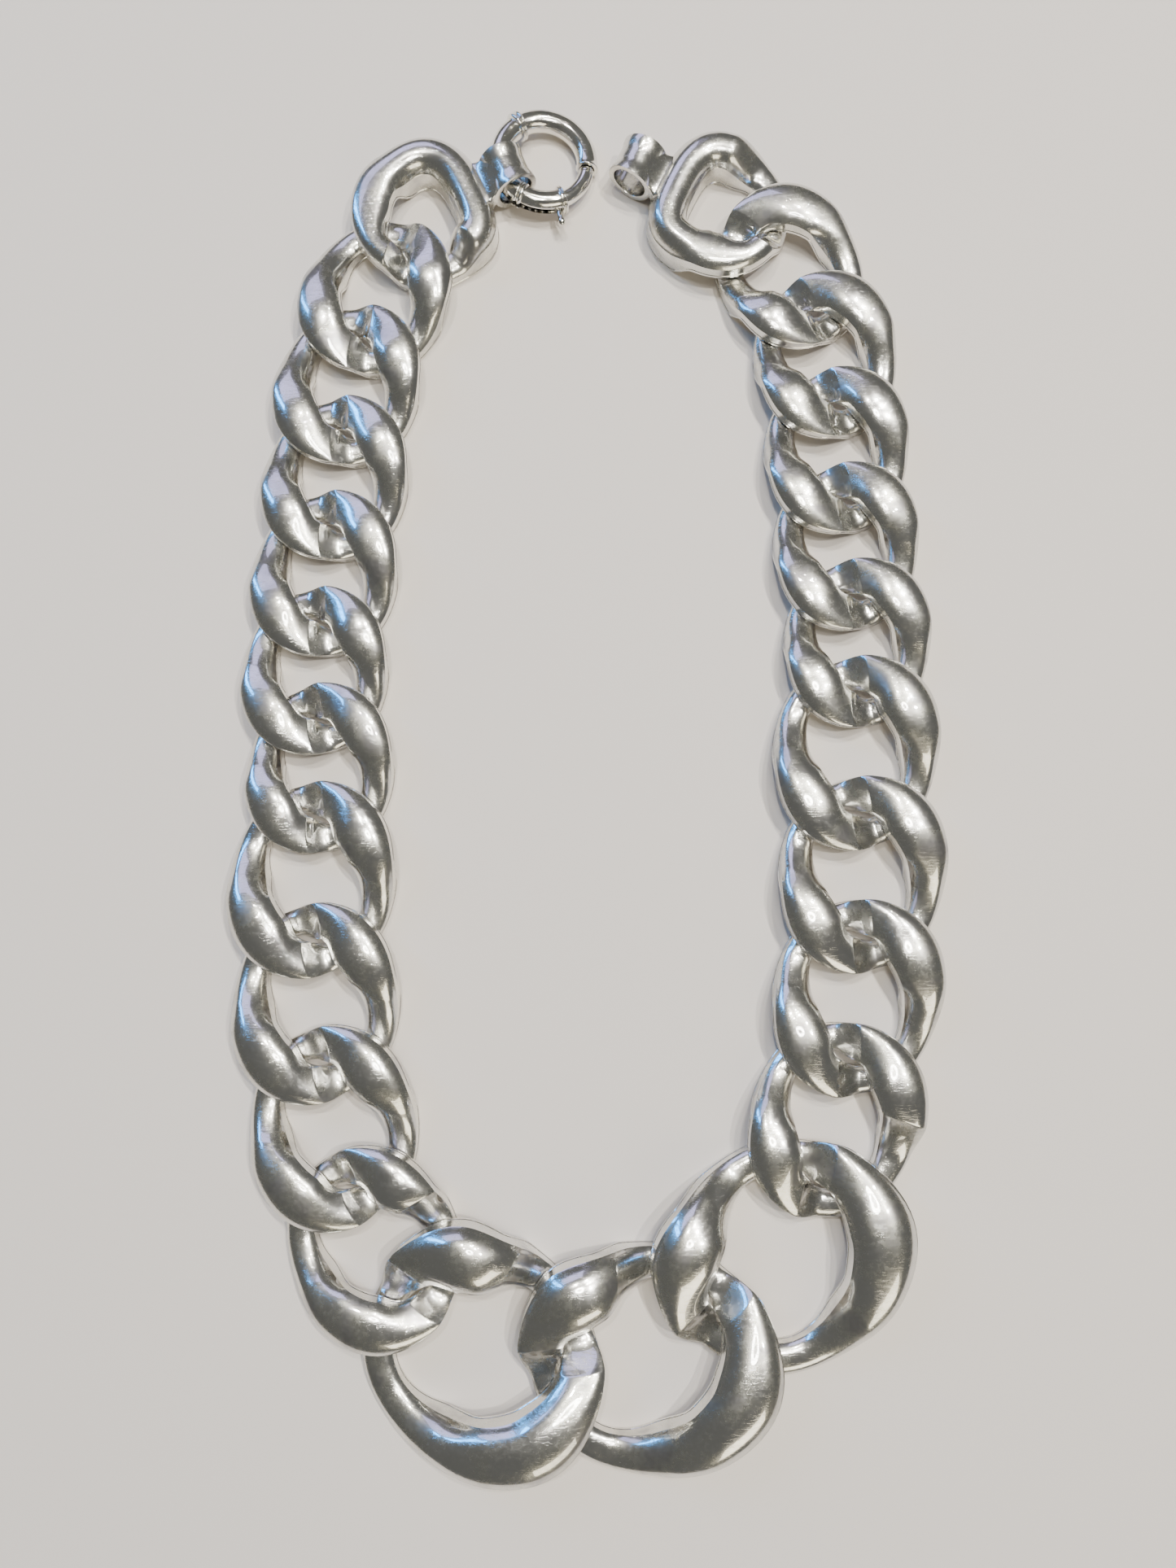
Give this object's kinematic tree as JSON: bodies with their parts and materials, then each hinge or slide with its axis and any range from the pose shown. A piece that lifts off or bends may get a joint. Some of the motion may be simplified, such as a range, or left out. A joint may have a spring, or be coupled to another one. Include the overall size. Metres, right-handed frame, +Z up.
{
  "type": "chain necklace",
  "caption": "Graduated curb chain necklace of hollow domed links, with a barrel bail at each end and a spring-ring clasp with a sliding tongue.",
  "frame": {"origin": "on the surface the chain lies on, under the middle of the whole chain's box", "axes": "+Y towards the clasp end of the open U, along its longest side; +X to the side of the end without the clasp; +Z up off the surface, its shortest side"},
  "size_m": [0.11, 0.213, 0.009],
  "materials": {
    "polished_front": "polished silver, lightly worn",
    "polished_back": "polished silver back plate, finely scratched",
    "clasp_silver": "polished silver",
    "clasp_gate": "polished silver, rubbed",
    "spring_steel": "drawn spring wire"
  },
  "bodies": {
    "link_12": {"link_12_front": "polished_front", "link_12_back": "polished_back"},
    "link_01": {"link_01_front": "polished_front", "link_01_back": "polished_back"},
    "link_02": {"link_02_front": "polished_front", "link_02_back": "polished_back"},
    "link_03": {"link_03_front": "polished_front", "link_03_back": "polished_back"},
    "link_04": {"link_04_front": "polished_front", "link_04_back": "polished_back"},
    "link_05": {"link_05_front": "polished_front", "link_05_back": "polished_back"},
    "link_06": {"link_06_front": "polished_front", "link_06_back": "polished_back"},
    "link_07": {"link_07_front": "polished_front", "link_07_back": "polished_back"},
    "link_08": {"link_08_front": "polished_front", "link_08_back": "polished_back"},
    "link_09": {"link_09_front": "polished_front", "link_09_back": "polished_back"},
    "link_10": {"link_10_front": "polished_front", "link_10_back": "polished_back"},
    "link_11": {"link_11_front": "polished_front", "link_11_back": "polished_back"},
    "link_13": {"link_13_front": "polished_front", "link_13_back": "polished_back"},
    "link_14": {"link_14_front": "polished_front", "link_14_back": "polished_back"},
    "link_15": {"link_15_front": "polished_front", "link_15_back": "polished_back"},
    "link_16": {"link_16_front": "polished_front", "link_16_back": "polished_back"},
    "link_17": {"link_17_front": "polished_front", "link_17_back": "polished_back"},
    "link_18": {"link_18_front": "polished_front", "link_18_back": "polished_back"},
    "link_19": {"link_19_front": "polished_front", "link_19_back": "polished_back"},
    "link_20": {"link_20_front": "polished_front", "link_20_back": "polished_back"},
    "link_21": {"link_21_front": "polished_front", "link_21_back": "polished_back"},
    "link_22": {"link_22_front": "polished_front", "link_22_back": "polished_back"},
    "left_end": {"left_end_front": "polished_front", "left_end_back": "polished_back", "left_barrel": "polished_front"},
    "right_end": {"right_end_front": "polished_front", "right_end_back": "polished_back", "right_barrel": "polished_front"},
    "clasp_ring": {"clasp_tube": "clasp_silver", "clasp_rear_collar": "clasp_silver", "clasp_gate_collar": "clasp_silver", "clasp_spring": "spring_steel", "clasp_spring_stop": "spring_steel"},
    "clasp_gate": {"clasp_tongue": "clasp_gate", "clasp_thumb_peg": "clasp_gate"}
  },
  "joints": [
    {"name": "link_12_to_link_13", "type": "hinge", "parent": "link_12", "child": "link_13", "pos_m": [0.01949, -0.08188, 0.003], "axis": [0, 0, 1], "range_deg": [-7, 0.7]},
    {"name": "link_13_to_link_14", "type": "hinge", "parent": "link_13", "child": "link_14", "pos_m": [0.03441, -0.06279, 0.003], "axis": [0, 0, -1], "range_deg": [-0.9, 7]},
    {"name": "link_14_to_link_15", "type": "hinge", "parent": "link_14", "child": "link_15", "pos_m": [0.03964, -0.04483, 0.003], "axis": [0, 0, -1], "range_deg": [-1, 7]},
    {"name": "link_15_to_link_16", "type": "hinge", "parent": "link_15", "child": "link_16", "pos_m": [0.04185, -0.0262, 0.003], "axis": [0, 0, 1], "range_deg": [-7, 1.2]},
    {"name": "link_16_to_link_17", "type": "hinge", "parent": "link_16", "child": "link_17", "pos_m": [0.04193, -0.00742, 0.003], "axis": [0, 0, 1], "range_deg": [-7, 1.4]},
    {"name": "link_17_to_link_18", "type": "hinge", "parent": "link_17", "child": "link_18", "pos_m": [0.04176, 0.01136, 0.003], "axis": [0, 0, -1], "range_deg": [-1.9, 7]},
    {"name": "link_18_to_link_19", "type": "hinge", "parent": "link_18", "child": "link_19", "pos_m": [0.04116, 0.02672, 0.003], "axis": [0, 0, -1], "range_deg": [-2.6, 7]},
    {"name": "link_19_to_link_20", "type": "hinge", "parent": "link_19", "child": "link_20", "pos_m": [0.03968, 0.04205, 0.003], "axis": [0, 0, 1], "range_deg": [-7, 3.3]},
    {"name": "link_20_to_link_21", "type": "hinge", "parent": "link_20", "child": "link_21", "pos_m": [0.03821, 0.05738, 0.003], "axis": [0, 0, 1], "range_deg": [-7, 7]},
    {"name": "link_21_to_link_22", "type": "hinge", "parent": "link_21", "child": "link_22", "pos_m": [0.03464, 0.07222, 0.003], "axis": [0, 0, -1], "range_deg": [-7, 7]},
    {"name": "link_22_to_right_end", "type": "hinge", "parent": "link_22", "child": "right_end", "pos_m": [0.02616, 0.08456, 0.003], "axis": [0, 0, -1], "range_deg": [-7, 7]},
    {"name": "link_11_to_link_12", "type": "hinge", "parent": "link_12", "child": "link_11", "pos_m": [-0.00329, -0.08873, 0.003], "axis": [0, 0, 1], "range_deg": [-0.7, 7]},
    {"name": "link_10_to_link_11", "type": "hinge", "parent": "link_11", "child": "link_10", "pos_m": [-0.02502, -0.07951, 0.003], "axis": [0, 0, -1], "range_deg": [-7, 0.7]},
    {"name": "link_09_to_link_10", "type": "hinge", "parent": "link_10", "child": "link_09", "pos_m": [-0.03505, -0.06421, 0.003], "axis": [0, 0, -1], "range_deg": [-7, 0.9]},
    {"name": "link_08_to_link_09", "type": "hinge", "parent": "link_09", "child": "link_08", "pos_m": [-0.03982, -0.0461, 0.003], "axis": [0, 0, 1], "range_deg": [-0.9, 7]},
    {"name": "link_07_to_link_08", "type": "hinge", "parent": "link_08", "child": "link_07", "pos_m": [-0.04186, -0.02745, 0.003], "axis": [0, 0, 1], "range_deg": [-0.9, 7]},
    {"name": "link_06_to_link_07", "type": "hinge", "parent": "link_07", "child": "link_06", "pos_m": [-0.04194, -0.00867, 0.003], "axis": [0, 0, -1], "range_deg": [-7, 1]},
    {"name": "link_05_to_link_06", "type": "hinge", "parent": "link_06", "child": "link_05", "pos_m": [-0.04221, 0.0067, 0.003], "axis": [0, 0, -1], "range_deg": [-7, 1.2]},
    {"name": "link_04_to_link_05", "type": "hinge", "parent": "link_05", "child": "link_04", "pos_m": [-0.04221, 0.02205, 0.003], "axis": [0, 0, 1], "range_deg": [-1.4, 7]},
    {"name": "link_03_to_link_04", "type": "hinge", "parent": "link_04", "child": "link_03", "pos_m": [-0.04094, 0.0374, 0.003], "axis": [0, 0, 1], "range_deg": [-1.6, 7]},
    {"name": "link_02_to_link_03", "type": "hinge", "parent": "link_03", "child": "link_02", "pos_m": [-0.03946, 0.05273, 0.003], "axis": [0, 0, -1], "range_deg": [-7, 1.9]},
    {"name": "link_01_to_link_02", "type": "hinge", "parent": "link_02", "child": "link_01", "pos_m": [-0.03653, 0.06779, 0.003], "axis": [0, 0, -1], "range_deg": [-7, 3]},
    {"name": "left_end_to_link_01", "type": "hinge", "parent": "link_01", "child": "left_end", "pos_m": [-0.0305, 0.08182, 0.003], "axis": [0, 0, 1], "range_deg": [-7, 7]},
    {"name": "clasp_swing", "type": "hinge", "parent": "left_end", "child": "clasp_ring", "pos_m": [-0.01352, 0.095, 0.0037], "axis": [0.4305, -0.9026, 0], "range_deg": [0, 150]},
    {"name": "gate_slide", "type": "hinge", "parent": "clasp_ring", "child": "clasp_gate", "pos_m": [-0.00785, 0.09771, 0.00277], "axis": [-0.1329, -0.0634, -0.9891], "range_deg": [0, 52], "stiffness_Nm_per_rad": 0.01, "springref_deg": -34.38, "deforming": ["clasp_spring"]}
  ]
}
